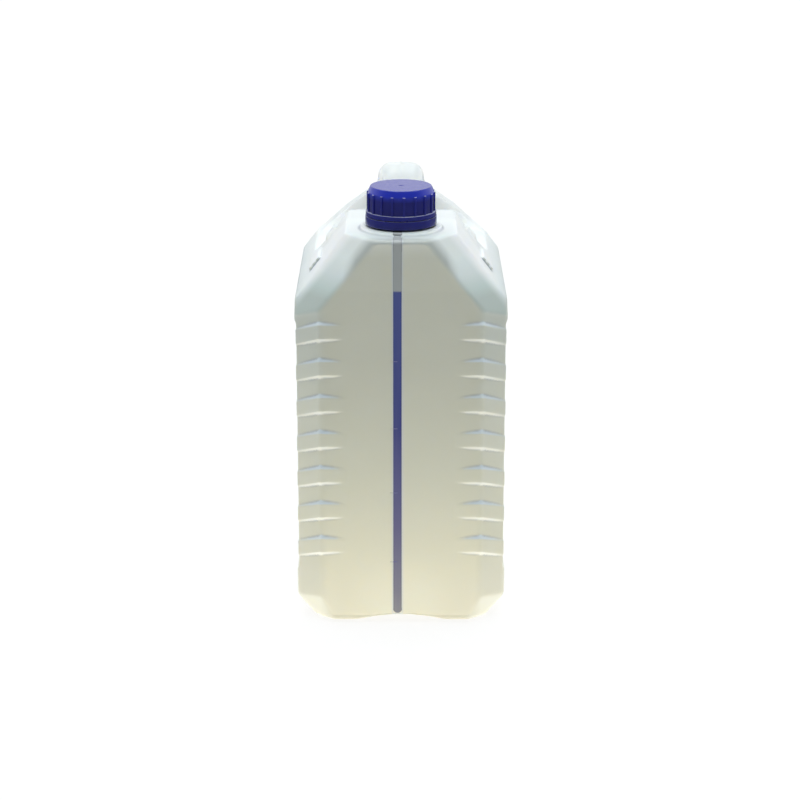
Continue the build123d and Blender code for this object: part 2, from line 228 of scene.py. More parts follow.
# Painted shade on the front edge of the deck
NOSE_Y = (FRONT_Y + 28 * MM, FRONT_Y + 14 * MM)
NOSE_FACES_UP = (0.6, 0.95)
NOSE_SHADE_TONE = (0.68, 0.735, 0.715)
# Painted shade along the top of the front, near the middle
BROW_Y = (FRONT_Y + 10 * MM, FRONT_Y + 3 * MM)
BROW_OUT = (36 * MM, 28 * MM)
BROW_SHADE_TONE = (0.50, 0.53, 0.505)
# Painted glow on the faces that look up near the foot
FOOT_HEIGHT = (30 * MM, 60 * MM)
FOOT_GLOW_TONE = (0.88, 0.86, 0.76)
# Painted shade under the middle of the sole, and painted glow at its edge and on the ledges that
# look down
SOLE_OUT = (42 * MM, 52 * MM)
SOLE_HEIGHT = (14 * MM, 26 * MM)
SOLE_SHADE_TONE = (0.66, 0.645, 0.55)
SOLE_EDGE_GLOW_TONE = (0.88, 0.875, 0.79)
UNDER_SHARE = 0.9
UNDER_GLOW_TONE = (0.98, 0.96, 0.87)
RIBS_OUT = (26 * MM, 32 * MM)
DECK_HEIGHT = (LEVEL + 20 * MM, LEVEL + 24 * MM)
# Painted shade in the creases
CREASE_SHADE_SHARE = 0.9
CREASE_SHADE_TONE = (0.42, 0.45, 0.50)
AIR_HEIGHT = (LEVEL + 4 * MM, LEVEL + 12 * MM)
AIR_Y = (NECK_AXIS.y + 20 * MM, NECK_AXIS.y + 32 * MM)
# Painted glow on the roof and handle, and painted shade on their faces that look up
AIR_GLOW_TONE = (0.945, 0.95, 0.94)
AIR_FACES_UP = (0.45, 0.85)
AIR_UP_SHADE_TONE = (0.70, 0.72, 0.71)
FRINGE_OUT = (STRIPE_HALF + 1.4 * MM, STRIPE_HALF)
FRINGE_Y = (FRONT_Y + 4 * MM, FRONT_Y + 2 * MM)
FRINGE_SHARE = 0.45
FRINGE_TONE = (0.66, 0.72, 0.80)

# How deep light goes into it, its gloss and its relief
MILK_DEPTH = 1.2 * MM
AIR_DEPTH = 14.0 * MM
MILK_SCATTER = (1.0, 0.95, 0.85)
MILK_GLOSS = (0.34, 0.44)
MILK_GLOSS_WAVES = 60.0
FLOW_WAVES = 260.0
FLOW_STRETCH = (1.0, 1.0, 0.03)
FLOW_DEPTH = 0.04 * MM
GRAIN_WAVES = 1600.0
GRAIN_DEPTH = 0.02 * MM

# Finish of the clear stripe, from the ground up to the level
STRIPE_TONES = [
    (0.02, (0.32, 0.31, 0.31)),
    (0.10, (0.235, 0.225, 0.28)),
    (0.30, (0.13, 0.12, 0.25)),
    (0.60, (0.052, 0.060, 0.245)),
    (1.00, (0.072, 0.098, 0.32)),
]
STREAK_WAVES = 300.0
STREAK_STRETCH = (1.0, 1.0, 0.05)
STREAK_SHARE = 0.2
STREAK_TONE = (0.14, 0.15, 0.33)
STRIPE_EMPTY_HEIGHT = (LEVEL - 0.8 * MM, LEVEL + 0.8 * MM)
STRIPE_EMPTY_TONE = (0.42, 0.44, 0.44)
STRIPE_EDGE_START_SHARE = 0.7
STRIPE_EDGE_SHARE = 0.45
STRIPE_EDGE_TONE = (0.03, 0.035, 0.12)
STRIPE_END_SHARES = (0.9, 1.1)
STRIPE_END_TONE = (0.90, 0.87, 0.75)
STRIPE_FLOW_DEPTH = 0.05 * MM

# Finish of the ticks: milky beside the stripe and clear on it
TICK_CLEAR_START = (STRIPE_LOW.x - 0.3 * MM, STRIPE_LOW.x + 0.3 * MM)
TICK_WAVES = 500.0
TICK_CLOUD_SHARE = 0.2
TICK_MILK_TONE = (0.72, 0.72, 0.63)
TICK_CLEAR_TONE = (0.17, 0.17, 0.38)
TICK_CLOUD_TONE = (0.28, 0.28, 0.46)

# Finish of the coolant
LIQUID_WAVES = 12.0
LIQUID_TONES = [
    (0.3, (0.02, 0.04, 0.32)),
    (0.7, (0.03, 0.06, 0.42)),
]

# Finish of cap and ring, from the foot of the ring to the top of the cap: deep blue, with painted
# shade low down and painted light on the cone
CAP_SHADED_TONES = [
    (0.00, (0.005, 0.006, 0.085)),
    (0.25, (0.007, 0.009, 0.160)),
    (0.70, (0.008, 0.010, 0.185)),
    (0.82, (0.014, 0.030, 0.480)),
    (0.97, (0.016, 0.034, 0.510)),
    (1.00, (0.013, 0.022, 0.290)),
]
# Painted highlight on the grip ribs that stand out from the cap's body
GRIP_OUT = (CAP_BODY_RADIUS + 0.2 * MM, CAP_BODY_RADIUS + 0.6 * MM)
GRIP_HIGHLIGHT_SHARE = 0.5
GRIP_HIGHLIGHT_TONE = (0.014, 0.018, 0.260)
CAP_CLOUD_WAVES = 90.0
CAP_CLOUD_SHARE = 0.15
CAP_CLOUD_TONE = (0.012, 0.018, 0.300)
# Painted highlight on the cap's ledges and rib tops that look up
LEDGE_FACES_UP = (0.55, 0.85)
LEDGE_HEIGHT = (0.90, 0.84)
LEDGE_HIGHLIGHT_SHARE = 0.8
LEDGE_HIGHLIGHT_TONE = (0.40, 0.42, 0.60)
CAP_GLOSS = (0.20, 0.27)
CAP_GLOSS_WAVES = 400.0

# Finish of the liner
FOAM_WAVES = 900.0
FOAM_TONES = [
    (0.3, (0.80, 0.80, 0.78)),
    (0.7, (0.88, 0.88, 0.87)),
]
CELL_WAVES = 1400.0
CELL_DEPTH = 0.08 * MM


def only(piece):
    """Leave one object selected and active."""
    for other in bpy.context.view_layer.objects:
        other.select_set(False)
    piece.select_set(True)
    bpy.context.view_layer.objects.active = piece


def copy_of(node, name):
    """A copy of a node's mesh as a new piece, with its loose triangles merged."""
    piece = bpy.data.objects.new(name, frame["nodes"][node].data.copy())
    bpy.context.scene.collection.objects.link(piece)
    only(piece)
    bpy.ops.object.mode_set(mode="EDIT")
    bpy.ops.mesh.select_all(action="SELECT")
    bpy.ops.mesh.remove_doubles(threshold=MERGE)
    bpy.ops.object.mode_set(mode="OBJECT")
    return piece


def pick(piece, kind, wanted):
    """Go into edit mode with just the wanted faces or vertices of a piece selected."""
    only(piece)
    bpy.ops.object.mode_set(mode="EDIT")
    bpy.ops.mesh.select_mode(type=kind)
    bpy.ops.mesh.select_all(action="DESELECT")
    bpy.ops.object.mode_set(mode="OBJECT")
    for part in piece.data.polygons if kind == "FACE" else piece.data.vertices:
        part.select = wanted(part)
    bpy.ops.object.mode_set(mode="EDIT")


def modify(piece, kind, **settings):
    """Add a modifier to a piece and apply it."""
    only(piece)
    modifier = piece.modifiers.new(kind.lower(), kind)
    for name, value in settings.items():
        setattr(modifier, name, value)
    bpy.ops.object.modifier_apply(modifier=modifier.name)


def settle(piece, body, material):
    """Put a finished piece's place into its mesh, and give it its finish, body and slot."""
    only(piece)
    bpy.ops.object.transform_apply(location=True, rotation=True, scale=True)
    bpy.ops.object.shade_smooth_by_angle(angle=math.radians(SHARP_ANGLE))
    piece.data.materials.clear()
    piece.data.materials.append(material)
    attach(piece, body)


# Pieces

def from_neck(point):
    """How far a point is from the neck's axis."""
    return math.hypot(point.x - NECK_AXIS.x, point.y - NECK_AXIS.y)


def jug_skin(material):
    """The blown wall from outside, with its mouth, soft edges, mould seam and stripe seat."""
    piece = copy_of("jug_body", "jug_skin")
    points = piece.data.vertices

    def joins_inside(face):
        """The faces of mouth and stripe slot, which join the outer side to the inner one."""
        middle = face.center
        mouth = from_neck(middle) < MOUTH_RADIUS + STRIPE_SINK and abs(face.normal.z) < UPRIGHT
        flank = min(abs(middle.x - STRIPE_LOW.x), abs(middle.x - STRIPE_HIGH.x)) < STRIPE_SINK / 2
        flank = flank and abs(face.normal.x) > SQUARE and middle.y < STRIPE_HIGH.y
        in_slot = all(STRIPE_LOW.x - MERGE < points[v].co.x < STRIPE_HIGH.x + MERGE
                      for v in face.vertices)
        end = in_slot and abs(middle.z - STRIPE_LOW.z) < MERGE
        return mouth and middle.z > LEVEL or flank or end

    pick(piece, "FACE", joins_inside)
    bpy.ops.mesh.delete(type="FACE")
    bpy.ops.object.mode_set(mode="OBJECT")
    foot = min(face.center.z for face in piece.data.polygons)
    pick(piece, "FACE", lambda face: face.center.z < foot + MERGE)
    bpy.ops.mesh.select_linked()
    bpy.ops.mesh.select_all(action="INVERT")
    bpy.ops.mesh.delete(type="FACE")
    bpy.ops.mesh.select_mode(type="EDGE")
    bpy.ops.mesh.select_non_manifold(extend=False, use_non_contiguous=False)
    bpy.ops.mesh.fill()
    bpy.ops.object.mode_set(mode="OBJECT")
    pick(piece, "FACE", lambda face: from_neck(face.center) < MOUTH_RADIUS
         and face.center.z > CAP_LOW.z + THREAD_PITCH and abs(face.normal.z) > SQUARE)
    bpy.ops.mesh.extrude_region_move(TRANSFORM_OT_translate={"value": (0, 0, -MOUTH_DEPTH)})
    bpy.ops.mesh.select_all(action="SELECT")
    bpy.ops.mesh.normals_make_consistent(inside=False)
    bpy.ops.object.mode_set(mode="OBJECT")
    modify(piece, "REMESH", mode="VOXEL", voxel_size=SKIN_VOXEL, use_smooth_shade=True)
    modify(piece, "SMOOTH", factor=SMOOTH_FACTOR, iterations=SKIN_SMOOTH)
    soft = piece.vertex_groups.new(name="soft")
    for point in piece.data.vertices:
        along = (abs(point.co.y) - SOFT_START_Y) / SOFT_FADE
        past = max(point.co.z - SOFT_ABOVE, SOFT_BELOW - point.co.z) / SOFT_STEP
        share = min(along, past, 1)
        if share > 0:
            soft.add([point.index], share, "REPLACE")
    modify(piece, "SMOOTH", factor=SMOOTH_FACTOR, iterations=SOFT_SMOOTH,
           vertex_group="soft")

    def near_stripe(point, margin):
        """Whether a point lies on the stripe's seat, or within a margin of it."""
        return (STRIPE_LOW.x - margin < point.co.x < STRIPE_HIGH.x + margin
                and point.co.y < STRIPE_HIGH.y and point.co.z > STRIPE_LOW.z - margin)

    seat = piece.vertex_groups.new(name="seat")
    pick(piece, "VERT", lambda point: near_stripe(point, STRIPE_BORDER))
    piece.vertex_groups.active = seat
    bpy.ops.object.vertex_group_assign()
    bpy.ops.object.mode_set(mode="OBJECT")
    pick(piece, "VERT", lambda point: near_stripe(point, -STRIPE_LAP))
    bpy.ops.transform.shrink_fatten(value=-STRIPE_SINK)
    bpy.ops.object.mode_set(mode="OBJECT")
    pick(piece, "VERT", lambda point: abs(point.co.x) < SEAM_HALF and point.co.y > SEAM_START_Y
         and point.co.z < JUG_HIGH.z - SEAM_HEIGHT)
    bpy.ops.transform.shrink_fatten(value=SEAM_HEIGHT)
    bpy.ops.object.mode_set(mode="OBJECT")
    modify(piece, "DECIMATE", ratio=SKIN_SHARE, vertex_group="seat", invert_vertex_group=True)
    settle(piece, "jug", material)
    bpy.ops.object.shade_smooth()
    # Measure the skin's creases, for the painted shade that its finish puts in them
    bpy.ops.geometry.color_attribute_add(name=CREASES, domain="CORNER", data_type="BYTE_COLOR",
                                         color=(1, 1, 1, 1))
    bpy.ops.paint.vertex_color_dirt(blur_strength=CREASE_BLUR, blur_iterations=CREASE_BLURS,
                                    normalize=False,
                                    dirt_angle=math.radians(90 - CREASE_ANGLE),
                                    clean_angle=math.radians(90 + CREASE_ANGLE))
    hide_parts("jug_body")


def litre_ticks(material):
    """Short embossed lines that cross the stripe's left edge, one for each litre."""
    size = (TICK_RIGHT - TICK_LEFT, 2 * TICK_PROUD, TICK_THICK)
    place = ((TICK_LEFT + TICK_RIGHT) / 2, FRONT_Y, TICK_HEIGHTS[0])
    bpy.ops.object.select_all(action="DESELECT")
    bpy.ops.mesh.primitive_cube_add(size=1, location=place, scale=size)
    first = bpy.context.object
    first.name = "litre_tick_1"
    bpy.ops.object.transform_apply(location=False, rotation=False, scale=True)
    modify(first, "BEVEL", width=TICK_EDGE, segments=EDGE_SEGMENTS)
    ticks = [first]
    for i, height in enumerate(TICK_HEIGHTS[1:]):
        only(first)
        bpy.ops.object.duplicate()
        tick = bpy.context.object
        tick.name = f"litre_tick_{i + 2}"
        tick.location.z = height
        ticks.append(tick)
    for tick in ticks:
        settle(tick, "jug", material)


def thread(name, root, crest, start_z, body, material):
    """A thread that winds up round the neck's axis, from its root radius to its crest."""
    bpy.ops.object.select_all(action="DESELECT")
    place = (NECK_AXIS.x, NECK_AXIS.y, start_z)
    bpy.ops.mesh.primitive_plane_add(size=1, location=place, rotation=(math.pi / 2, 0, 0))
    piece = bpy.context.object
    piece.name = name
    piece.scale = (abs(crest - root), THREAD_THICK, 1)
    bpy.ops.object.transform_apply(location=False, rotation=True, scale=True)
    outward = 1 if crest > root else -1
    pick(piece, "VERT", lambda point: point.co.x * outward > 0)
    bpy.ops.transform.resize(value=(1, 1, THREAD_CREST_SHARE))
    bpy.ops.mesh.select_all(action="SELECT")
    bpy.ops.transform.translate(value=((root + crest) / 2, 0, 0))
    bpy.ops.mesh.delete(type="ONLY_FACE")
    bpy.ops.object.mode_set(mode="OBJECT")
    steps = round(THREAD_STEPS * THREAD_TURNS)
    modify(piece, "SCREW", axis="Z", angle=2 * math.pi * THREAD_TURNS,
           screw_offset=THREAD_PITCH * THREAD_TURNS, steps=steps, render_steps=steps,
           use_merge_vertices=False)
    only(piece)
    bpy.ops.object.mode_set(mode="EDIT")
    bpy.ops.mesh.select_mode(type="EDGE")
    bpy.ops.mesh.select_all(action="DESELECT")
    bpy.ops.mesh.select_non_manifold(extend=False, use_non_contiguous=False)
    bpy.ops.mesh.fill()
    bpy.ops.mesh.select_all(action="SELECT")
    bpy.ops.mesh.normals_make_consistent(inside=False)
    bpy.ops.object.mode_set(mode="OBJECT")
    settle(piece, body, material)


def gate_mark(material):
    """The small round mark that the moulding gate leaves on the cap."""
    bpy.ops.object.select_all(action="DESELECT")
    place = (NECK_AXIS.x, NECK_AXIS.y, CAP_HIGH.z)
    bpy.ops.mesh.primitive_cylinder_add(vertices=GATE_SIDES, radius=GATE_RADIUS,
                                        depth=2 * GATE_PROUD, location=place)
    piece = bpy.context.object
    piece.name = "cap_gate_mark"
    pick(piece, "FACE", lambda face: face.normal.z > SQUARE)
    bpy.ops.mesh.inset(thickness=GATE_RADIUS / 2, depth=-GATE_PROUD / 2)
    bpy.ops.object.mode_set(mode="OBJECT")
    modify(piece, "BEVEL", width=GATE_PROUD / 2, segments=EDGE_SEGMENTS)
    settle(piece, "cap", material)


# Nodes of the materials

def new_material(name, roughness, specular):
    """A material with a Principled shader, and its node tree."""
    material = bpy.data.materials.new(name)
    material.use_nodes = True
    tree = material.node_tree
    shader = tree.nodes["Principled BSDF"]
    shader.inputs["Roughness"].default_value = roughness
    shader.inputs["Specular IOR Level"].default_value = specular
    return material, tree, shader


def add_node(tree, kind, **settings):
    """A node of a kind, with its settings."""
    node = tree.nodes.new(kind)
    for name, value in settings.items():
        setattr(node, name, value)
    return node


def object_point(tree, scale=(1, 1, 1)):
    """The point on the piece in its own coordinates, stretched by a scale."""
    coordinates = add_node(tree, "ShaderNodeTexCoord")
    mapping = add_node(tree, "ShaderNodeMapping")
    mapping.inputs["Scale"].default_value = scale
    tree.links.new(coordinates.outputs["Object"], mapping.inputs["Vector"])
    return mapping.outputs["Vector"]


def axis_value(tree, axis):
    """One coordinate of the point on the piece."""
    split = add_node(tree, "ShaderNodeSeparateXYZ")
    tree.links.new(object_point(tree), split.inputs["Vector"])
    return split.outputs[axis]


def span(tree, value, low, high, to_low=0.0, to_high=1.0, smooth=False):
    """A value mapped from one span to another and kept inside it."""
    node = add_node(tree, "ShaderNodeMapRange")
    node.interpolation_type = "SMOOTHSTEP" if smooth else "LINEAR"
    node.inputs["From Min"].default_value = low
    node.inputs["From Max"].default_value = high
    node.inputs["To Min"].default_value = to_low
    node.inputs["To Max"].default_value = to_high
    tree.links.new(value, node.inputs["Value"])
    return node.outputs["Result"]


def color_ramp(tree, value, stops):
    """Colours along a value from 0 to 1."""
    node = add_node(tree, "ShaderNodeValToRGB")
    elements = node.color_ramp.elements
    while len(elements) < len(stops):
        elements.new(0.5)
    for element, (place, color) in zip(elements, stops):
        element.position = place
        element.color = (*color, 1.0)
    tree.links.new(value, node.inputs["Fac"])
    return node.outputs["Color"]


def mix_color(tree, share, a, b, blend="MIX"):
    """Two colours mixed by a share. Each may be a socket or a colour."""
    node = add_node(tree, "ShaderNodeMix", data_type="RGBA", blend_type=blend)
    for value, name in ((share, "Factor_Float"), (a, "A_Color"), (b, "B_Color")):
        socket = next(s for s in node.inputs if s.identifier == name)
        if isinstance(value, bpy.types.NodeSocket):
            tree.links.new(value, socket)
        elif isinstance(value, tuple):
            socket.default_value = (*value, 1.0)
        else:
            socket.default_value = value
    return next(s for s in node.outputs if s.identifier == "Result_Color")


def math_node(tree, operation, a, b=0.0):
    """A sum, product or the like of two values, sockets or numbers."""
    node = add_node(tree, "ShaderNodeMath", operation=operation)
    for value, socket in zip((a, b), node.inputs):
        if isinstance(value, bpy.types.NodeSocket):
            tree.links.new(value, socket)
        else:
            socket.default_value = value
    return node.outputs["Value"]


def noise(tree, scale, detail=2.0, stretch=(1, 1, 1)):
    """Noise in the piece's own coordinates, as many waves to the metre as its scale."""
    node = add_node(tree, "ShaderNodeTexNoise")
    node.inputs["Scale"].default_value = scale
    node.inputs["Detail"].default_value = detail
    tree.links.new(object_point(tree, stretch), node.inputs["Vector"])
    return node.outputs["Fac"]


def bump(tree, shader, layers):
    """Surface relief from layers of (height, depth in metres)."""
    normal = None
    for height, depth in layers:
        node = add_node(tree, "ShaderNodeBump")
        node.inputs["Distance"].default_value = depth
        tree.links.new(height, node.inputs["Height"])
        if normal is not None:
            tree.links.new(normal, node.inputs["Normal"])
        normal = node.outputs["Normal"]
    tree.links.new(normal, shader.inputs["Normal"])


# Finishes

def facing(tree, axis):
    """How far a surface faces along an axis, from -1 to 1."""
    split = add_node(tree, "ShaderNodeSeparateXYZ")
    geometry = add_node(tree, "ShaderNodeNewGeometry")
    tree.links.new(geometry.outputs["Normal"], split.inputs["Vector"])
    return split.outputs[axis]


def creases(tree):
    """How deep a place lies in a crease of the skin: 0 in the open, 1 in the bottom of it."""
    node = add_node(tree, "ShaderNodeAttribute", attribute_name=CREASES)
    depth = span(tree, node.outputs["Fac"], *CREASE_SPAN)
    return math_node(tree, "MULTIPLY", depth, node.outputs["Alpha"])


def both(tree, a, b):
    """Where two shares hold together."""
    return math_node(tree, "MULTIPLY", a, b)


def off_stripe(tree, x):
    """How far a place is from the middle of the stripe, to either side."""
    return math_node(tree, "ABSOLUTE", math_node(tree, "SUBTRACT", x, STRIPE_X))


def reach(tree, a, b):
    """The length of two values at right angles."""
    squares = math_node(tree, "ADD", both(tree, a, a), both(tree, b, b))
    return math_node(tree, "SQRT", squares)


def milky_plastic():
    """Blown natural polyethylene, with painted light and shade: a creamy painted glow at the foot,
    as of light coming through, and bluish painted light on top.
    """
    material, tree, shader = new_material("milky_plastic", roughness=0.42, specular=0.4)
    x, y, z = (axis_value(tree, axis) for axis in "XYZ")
    out = math_node(tree, "ABSOLUTE", x)
    height = span(tree, z, JUG_LOW.z, JUG_HIGH.z)
    # Painted light along the height: glow at the foot, near white at the top
    tone = color_ramp(tree, height, MILK_LIT_TONES)
    # Painted glow low in the middle of the front
    glow = both(tree, span(tree, out, *GLOW_OUT, smooth=True),
                span(tree, z, *GLOW_HEIGHT, 0.0, GLOW_SHARE, smooth=True))
    tone = mix_color(tree, glow, tone, GLOW_TONE)
    # Painted shade and light on the corners
    corner = span(tree, out, *CORNER_OUT, smooth=True)
    tone = mix_color(tree, corner, tone, color_ramp(tree, height, CORNER_LIGHT_AND_SHADE_TONES))
    cloud = span(tree, noise(tree, CLOUD_WAVES, FINE), *NOISE, 0.0, CLOUD_SHARE)
    tone = mix_color(tree, cloud, tone, CLOUD_TONE)
    tone = mix_color(tree, span(tree, z, *EMPTY_HEIGHT, 0.0, EMPTY_SHARE), tone, EMPTY_TONE)

    # Faces that look up, with painted light and shade: bluish light from above, shade on the nose
    # and brow, a glow near the foot
    # Painted bluish light from above on the faces that look up
    up_light_and_shade = color_ramp(tree, span(tree, z, PAINTED_TOP_LOW, PAINTED_TOP_HIGH), BLUISH_TOP_LIGHT_TONES)
    # Painted light and painted reflection on the slopes behind the front
    slope = color_ramp(tree, span(tree, z, PAINTED_TOP_LOW, PAINTED_TOP_HIGH), SLOPE_LIGHT_TONES)
    # Painted bluish light on the flat faces, dimmer than on the slopes
    flat = span(tree, facing(tree, "Z"), *FLAT_FACES_UP, smooth=True)
    slope = mix_color(tree, flat, slope, FLAT_LIT_TONE)
    behind = both(tree, span(tree, y, *BEHIND_Y, smooth=True), span(tree, z, *BEHIND_HEIGHT))
    up_light_and_shade = mix_color(tree, behind, up_light_and_shade, slope)
    # Painted shade on the front edge of the deck
    nose = both(tree, span(tree, y, *NOSE_Y), span(tree, facing(tree, "Z"), *NOSE_FACES_UP))
    up_light_and_shade = mix_color(tree, nose, up_light_and_shade, NOSE_SHADE_TONE)
    # Painted shade along the top of the front
    brow = both(tree, span(tree, y, *BROW_Y), span(tree, out, *BROW_OUT))
    up_light_and_shade = mix_color(tree, brow, up_light_and_shade, BROW_SHADE_TONE)
    # Painted glow near the foot
    up_light_and_shade = mix_color(tree, span(tree, z, *FOOT_HEIGHT), FOOT_GLOW_TONE, up_light_and_shade)
    up = span(tree, facing(tree, "Z"), *FACES_UP, smooth=True)
    tone = mix_color(tree, up, tone, up_light_and_shade)

    # Faces that look down: painted glow, as of light from the floor below, with painted shade
    # under the middle of the sole
    down = span(tree, facing(tree, "Z"), *FACES_DOWN, smooth=True)
    sole = mix_color(tree, span(tree, out, *SOLE_OUT), SOLE_SHADE_TONE, SOLE_EDGE_GLOW_TONE)
    under = mix_color(tree, span(tree, z, *SOLE_HEIGHT), sole, UNDER_GLOW_TONE)
    tone = mix_color(tree, both(tree, down, UNDER_SHARE), tone, under)

    # Painted shade in the creases of the ribs, the pads and the deck
    folded = math_node(tree, "MAXIMUM", span(tree, out, *RIBS_OUT), span(tree, z, *DECK_HEIGHT))
    crease = both(tree, both(tree, creases(tree), folded), CREASE_SHADE_SHARE)
    tone = mix_color(tree, crease, tone, CREASE_SHADE_TONE)

    # Roof and handle, with nothing but air behind the wall: painted glow on the faces that look
    # forward, as of light coming through, and painted shade on those that look up
    air = both(tree, span(tree, z, *AIR_HEIGHT), span(tree, y, *AIR_Y))
    air_up = span(tree, facing(tree, "Z"), *AIR_FACES_UP, smooth=True)
    tone = mix_color(tree, air, tone, mix_color(tree, air_up, AIR_GLOW_TONE, AIR_UP_SHADE_TONE))

    # Blue that the stripe lends to the wall beside it
    fringe = span(tree, off_stripe(tree, x), *FRINGE_OUT, 0.0, FRINGE_SHARE, smooth=True)
    fringe = both(tree, fringe, span(tree, y, *FRINGE_Y))
    tone = mix_color(tree, fringe, tone, FRINGE_TONE)
    tree.links.new(tone, shader.inputs["Base Color"])

    depth = span(tree, air, 0.0, 1.0, MILK_DEPTH, AIR_DEPTH)
    tree.links.new(depth, shader.inputs["Subsurface Scale"])
    shader.inputs["Subsurface Weight"].default_value = 1.0
    shader.inputs["Subsurface Radius"].default_value = MILK_SCATTER
    gloss = span(tree, noise(tree, MILK_GLOSS_WAVES, FINE), *NOISE, *MILK_GLOSS)
    tree.links.new(gloss, shader.inputs["Roughness"])
    flow = noise(tree, FLOW_WAVES, stretch=FLOW_STRETCH)
    grain = noise(tree, GRAIN_WAVES)
    bump(tree, shader, [(flow, FLOW_DEPTH), (grain, GRAIN_DEPTH)])
    return material


def clear_stripe():
    """The clear strip of wall: the liquid shows deep blue through it, and grey above the level."""
    material, tree, shader = new_material("clear_stripe", roughness=0.3, specular=0.4)
    z = axis_value(tree, "Z")
    blue = color_ramp(tree, span(tree, z, JUG_LOW.z, LEVEL), STRIPE_TONES)
    streaks = noise(tree, STREAK_WAVES, stretch=STREAK_STRETCH)
    streak = span(tree, streaks, *NOISE, 0.0, STREAK_SHARE)
    blue = mix_color(tree, streak, blue, STREAK_TONE)
    empty = span(tree, z, *STRIPE_EMPTY_HEIGHT, smooth=True)
    tone = mix_color(tree, empty, blue, STRIPE_EMPTY_TONE)
    across = off_stripe(tree, axis_value(tree, "X"))
    edge = span(tree, across, STRIPE_HALF * STRIPE_EDGE_START_SHARE, STRIPE_HALF,
                0.0, STRIPE_EDGE_SHARE, smooth=True)
    tone = mix_color(tree, edge, tone, STRIPE_EDGE_TONE)
    above_end = math_node(tree, "SUBTRACT", z, STRIPE_LOW.z + STRIPE_HALF)
    below = math_node(tree, "MINIMUM", above_end, 0.0)
    start, stop = (STRIPE_HALF * share for share in STRIPE_END_SHARES)
    off_end = span(tree, reach(tree, across, below), start, stop, smooth=True)
    tone = mix_color(tree, off_end, tone, STRIPE_END_TONE)
    tree.links.new(tone, shader.inputs["Base Color"])
    bump(tree, shader, [(noise(tree, FLOW_WAVES, stretch=FLOW_STRETCH), STRIPE_FLOW_DEPTH)])
    return material


def tick_plastic():
    """The embossed ticks, which catch a little light on the stripe."""
    material, tree, shader = new_material("tick_plastic", roughness=0.35, specular=0.4)
    across = span(tree, axis_value(tree, "X"), *TICK_CLEAR_START)
    cloud = span(tree, noise(tree, TICK_WAVES), *NOISE, 0.0, TICK_CLOUD_SHARE)
    clear = mix_color(tree, cloud, TICK_CLEAR_TONE, TICK_CLOUD_TONE)
    tone = mix_color(tree, across, TICK_MILK_TONE, clear)
    tree.links.new(tone, shader.inputs["Base Color"])
    return material


def blue_liquid():
    """Coolant."""
    material, tree, shader = new_material("blue_liquid", roughness=0.08, specular=0.5)
    tone = color_ramp(tree, noise(tree, LIQUID_WAVES), LIQUID_TONES)
    tree.links.new(tone, shader.inputs["Base Color"])
    return material


def blue_plastic():
    """Moulded cap plastic, semi-gloss and deep blue, with painted shade low down, painted light
    that makes it brightest on the cone, and painted highlights on its grip ribs and ledges.
    """
    material, tree, shader = new_material("blue_plastic", roughness=0.22, specular=0.55)
    height = span(tree, axis_value(tree, "Z"), RING_LOW.z, CAP_HIGH.z)
    # Deep blue, with painted shade low down and painted light on the cone
    tone = color_ramp(tree, height, CAP_SHADED_TONES)
    dx = math_node(tree, "SUBTRACT", axis_value(tree, "X"), NECK_AXIS.x)
    dy = math_node(tree, "SUBTRACT", axis_value(tree, "Y"), NECK_AXIS.y)
    # Painted highlight on the grip ribs
    grip_highlight = span(tree, reach(tree, dx, dy), *GRIP_OUT, 0.0, GRIP_HIGHLIGHT_SHARE)
    tone = mix_color(tree, grip_highlight, tone, GRIP_HIGHLIGHT_TONE)
    cloud = span(tree, noise(tree, CAP_CLOUD_WAVES, FINE), *NOISE, 0.0, CAP_CLOUD_SHARE)
    tone = mix_color(tree, cloud, tone, CAP_CLOUD_TONE)
    # Painted highlight on the ledges and rib tops
    ledge_highlight = both(tree, span(tree, facing(tree, "Z"), *LEDGE_FACES_UP),
                 span(tree, height, *LEDGE_HEIGHT, 0.0, LEDGE_HIGHLIGHT_SHARE))
    tone = mix_color(tree, ledge_highlight, tone, LEDGE_HIGHLIGHT_TONE)
    tree.links.new(tone, shader.inputs["Base Color"])
    gloss = span(tree, noise(tree, CAP_GLOSS_WAVES), *NOISE, *CAP_GLOSS)
    tree.links.new(gloss, shader.inputs["Roughness"])
    return material


def white_foam():
    """Closed-cell liner."""
    material, tree, shader = new_material("white_foam", roughness=0.8, specular=0.3)
    tone = color_ramp(tree, noise(tree, FOAM_WAVES, FINE), FOAM_TONES)
    tree.links.new(tone, shader.inputs["Base Color"])
    bump(tree, shader, [(noise(tree, CELL_WAVES, FINE), CELL_DEPTH)])
    return material


def dress(name, material):
    """Give a CAD node its material."""
    slots = frame["nodes"][name].data.materials
    slots.clear()
    slots.append(material)


# Stage, light and camera

def seen_ray(tree):
    """1 for the rays that show the background, and 0 for those that light the jug."""
    path = add_node(tree, "ShaderNodeLightPath")
    seen = math_node(tree, "MAXIMUM", path.outputs["Is Camera Ray"], path.outputs["Is Glossy Ray"])
    return math_node(tree, "MAXIMUM", seen, path.outputs["Is Transmission Ray"])


